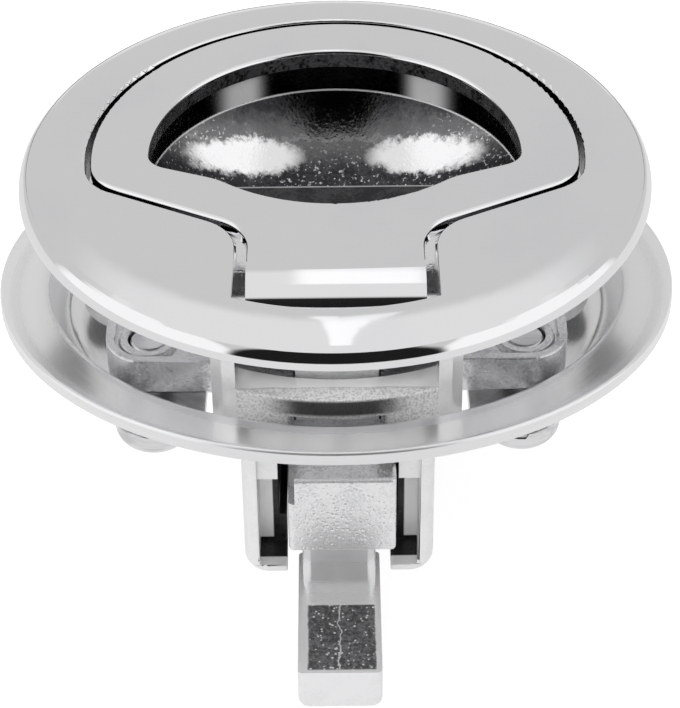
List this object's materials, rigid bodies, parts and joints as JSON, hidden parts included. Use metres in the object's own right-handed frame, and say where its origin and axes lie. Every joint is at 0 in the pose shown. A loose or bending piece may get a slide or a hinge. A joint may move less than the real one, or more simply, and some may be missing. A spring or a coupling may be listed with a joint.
{
  "type": "flush slam latch",
  "caption": "Round flush door latch: a hinged flush handle with a finger opening retracts a spring-loaded hooked bolt; a dished ring and screws clamp it to the panel.",
  "frame": {"origin": "centre of the bezel's underside, the plane that lies on the panel's outer face", "axes": "+Z out of the panel towards the user, -Y towards the hinge end of the handle and the bolt's nose, +X to the right seen from outside with the bolt pointing down"},
  "size_m": [0.0696, 0.0696, 0.0486],
  "materials": {
    "polished_chrome": "mirror chrome plate on a zinc casting, rougher inside and below the bezel",
    "handle_chrome": "mirror chrome plate, flat and highly polished",
    "cast_chrome": "chrome plate over a rough, pitted casting",
    "satin_ring": "satin, turned and lightly brushed",
    "spring_wire": "drawn stainless wire",
    "cover_plate": "stamped stainless sheet",
    "washer_steel": "stamped and tumbled",
    "turned_steel": "turned, smooth",
    "screw_steel": "smooth bright stainless"
  },
  "bodies": {
    "root": {"bolt_spring": "spring_wire", "cover_screw_1": "screw_steel", "cover_screw_2": "screw_steel", "cover_screw_3": "screw_steel", "cover_screw_4": "screw_steel", "handle_return_spring": "spring_wire", "hinge_pin": "turned_steel", "latch_body": "polished_chrome", "rear_cover": "cover_plate", "spring_guide": "turned_steel"},
    "handle": {"handle": "handle_chrome"},
    "bolt": {"bolt": "cast_chrome"},
    "clamp_screws": {"clamp_screw_left": "screw_steel", "clamp_screw_right": "screw_steel", "flat_washer_left": "washer_steel", "flat_washer_right": "washer_steel", "lock_washer_left": "washer_steel", "lock_washer_right": "washer_steel"},
    "backing_ring": {"backing_ring": "satin_ring"}
  },
  "joints": [
    {"name": "handle_hinge", "type": "hinge", "parent": "root", "child": "handle", "pos_m": [0, -0.0198, -0.0019], "axis": [1, 0, 0], "range_deg": [0, 40], "stiffness_Nm_per_rad": 0.04, "springref_deg": -20.05, "deforming": ["handle_return_spring"]},
    {"name": "bolt_slide", "type": "slide", "parent": "root", "child": "bolt", "axis": [0, 1, 0], "range_m": [0, 0.0082], "deforming": ["bolt_spring"]},
    {"name": "clamp_travel", "type": "slide", "parent": "root", "child": "clamp_screws", "axis": [0, 0, 1], "range_m": [-0.003, 0]},
    {"name": "ring_tilt", "type": "hinge", "parent": "clamp_screws", "child": "backing_ring", "pos_m": [0, -0.0157, -0.014], "axis": [1, 0, 0], "range_deg": [0, 7.3]}
  ],
  "couplings": [
    {"joint": "bolt_slide", "follows": "handle_hinge", "m_per_rad": 0.011579}
  ]
}
